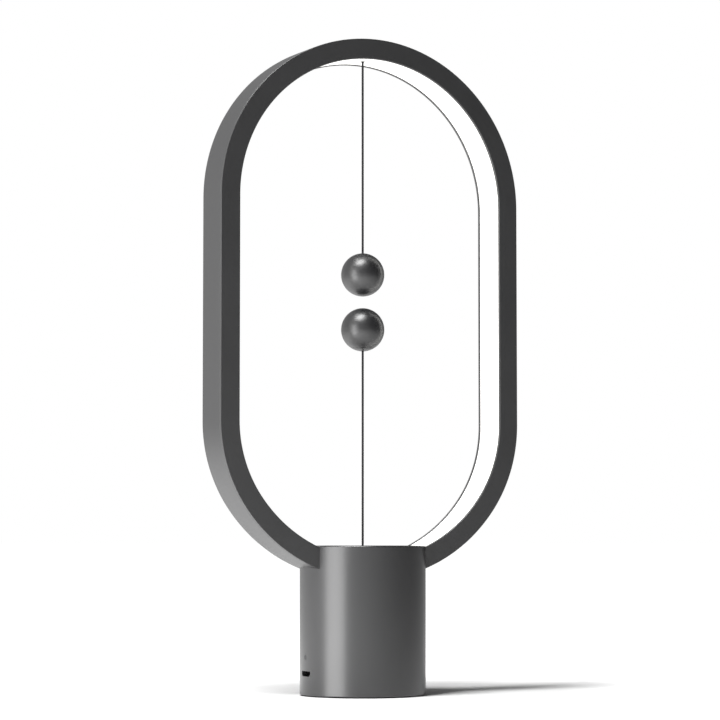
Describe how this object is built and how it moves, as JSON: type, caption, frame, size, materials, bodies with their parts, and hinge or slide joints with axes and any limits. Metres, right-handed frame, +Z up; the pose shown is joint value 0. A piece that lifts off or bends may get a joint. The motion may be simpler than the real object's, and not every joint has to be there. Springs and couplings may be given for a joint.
{
  "type": "magnetic balance lamp",
  "caption": "Light ring on a round base, with two magnet balls on cords that float apart in its middle; lifting the lower ball works the switch in the base.",
  "frame": {"origin": "middle of the rubber foot's underside, on the table", "axes": "+Z up along the cords; -Y to the front; +X to the right; the ring lies in the XZ plane and the socket faces -X"},
  "size_m": [0.12, 0.046, 0.24],
  "materials": {
    "frame_plastic": "satin moulded, dark grey",
    "base_plastic": "satin moulded, dark grey",
    "ball_plastic": "semi-gloss, dark grey",
    "opal_diffuser": "opal white, lit from behind",
    "white_plastic": "matt white",
    "strip_film": "white solder mask",
    "led_phosphor": "yellow phosphor",
    "cord": "fine twisted thread, grey",
    "magnet_steel": "nickel plated",
    "steel": "plain steel",
    "socket_steel": "plated sheet",
    "nickel": "nickel strip",
    "gold_brass": "plated brass",
    "foot_rubber": "matt black",
    "inner_plastic": "plain moulded",
    "circuit_board": "green solder mask",
    "component_black": "black moulding",
    "capacitor_tan": "ceramic",
    "clear_plastic": "clear moulded",
    "red_plastic": "moulded",
    "cell_sleeve": "heat-shrink sleeve",
    "wire_red": "soft insulation",
    "wire_yellow": "soft insulation"
  },
  "bodies": {
    "stand": {"frame_rear_shell": "frame_plastic", "frame_front_bezel": "frame_plastic", "diffuser": "opal_diffuser", "led_strip": "strip_film", "leds": "led_phosphor", "cord_ferrule": "white_plastic", "upper_cord_anchor": "cord", "base_shell": "base_plastic", "base_top_cap": "base_plastic", "cord_eyelet": "steel", "ring_saddle": "inner_plastic", "saddle_screws": "steel", "base_bottom_cover": "inner_plastic", "cover_screws": "steel", "foot_pad": "foot_rubber", "ballast_disc": "steel", "main_board": "circuit_board", "board_screws": "steel", "driver_chip": "component_black", "power_inductor": "component_black", "board_capacitors": "capacitor_tan", "usb_shell": "socket_steel", "usb_tongue": "component_black", "indicator_lens": "clear_plastic", "indicator_led": "clear_plastic", "battery_cradle": "inner_plastic", "battery_cell": "cell_sleeve", "battery_tabs": "nickel", "switch_case": "component_black", "switch_lever_pin": "steel", "switch_terminals": "gold_brass", "switch_screws": "steel", "led_wires": "wire_red", "switch_wires": "wire_yellow"},
    "upper_cord_joint": {"upper_cord_bend": "cord"},
    "upper_ball": {"upper_cord": "cord", "upper_ball_shell": "ball_plastic", "upper_ball_cap": "ball_plastic", "upper_ball_magnet": "magnet_steel"},
    "pull_line": {"pull_cord": "cord", "pull_cord_crimp": "steel"},
    "lower_cord_joint": {"lower_cord_bend": "cord"},
    "lower_ball": {"lower_cord": "cord", "lower_ball_shell": "ball_plastic", "lower_ball_cap": "ball_plastic", "lower_ball_magnet": "magnet_steel"},
    "lever": {"switch_lever": "steel"},
    "button": {"switch_button": "red_plastic"}
  },
  "joints": [
    {"name": "upper_swing_side", "type": "hinge", "parent": "stand", "child": "upper_cord_joint", "pos_m": [0, 0, 0.23245], "axis": [0, 1, 0], "range_deg": [-32, 32]},
    {"name": "upper_swing_front", "type": "hinge", "parent": "upper_cord_joint", "child": "upper_ball", "pos_m": [0, 0, 0.23245], "axis": [1, 0, 0], "range_deg": [-60, 60]},
    {"name": "pull_slide", "type": "slide", "parent": "stand", "child": "pull_line", "axis": [0, 0, 1], "range_m": [-0.002, 0], "stiffness_N_per_m": 50, "springref_m": 0.004},
    {"name": "lower_swing_side", "type": "hinge", "parent": "pull_line", "child": "lower_cord_joint", "pos_m": [0, 0, 0.0539], "axis": [0, 1, 0], "range_deg": [-32, 32], "stiffness_Nm_per_rad": 0.02},
    {"name": "lower_swing_front", "type": "hinge", "parent": "lower_cord_joint", "child": "lower_ball", "pos_m": [0, 0, 0.0539], "axis": [1, 0, 0], "range_deg": [-35, 35], "stiffness_Nm_per_rad": 0.02},
    {"name": "lever_turn", "type": "hinge", "parent": "stand", "child": "lever", "pos_m": [0.0146, 0, 0.0319], "axis": [0, 1, 0], "range_deg": [-8, 0]},
    {"name": "button_press", "type": "slide", "parent": "stand", "child": "button", "axis": [0, 0, 1], "range_m": [-0.0007, 0]}
  ],
  "couplings": [
    {"joint": "lever_turn", "follows": "pull_slide", "rad_per_m": 68.493},
    {"joint": "button_press", "follows": "pull_slide", "ratio": 0.34247}
  ]
}
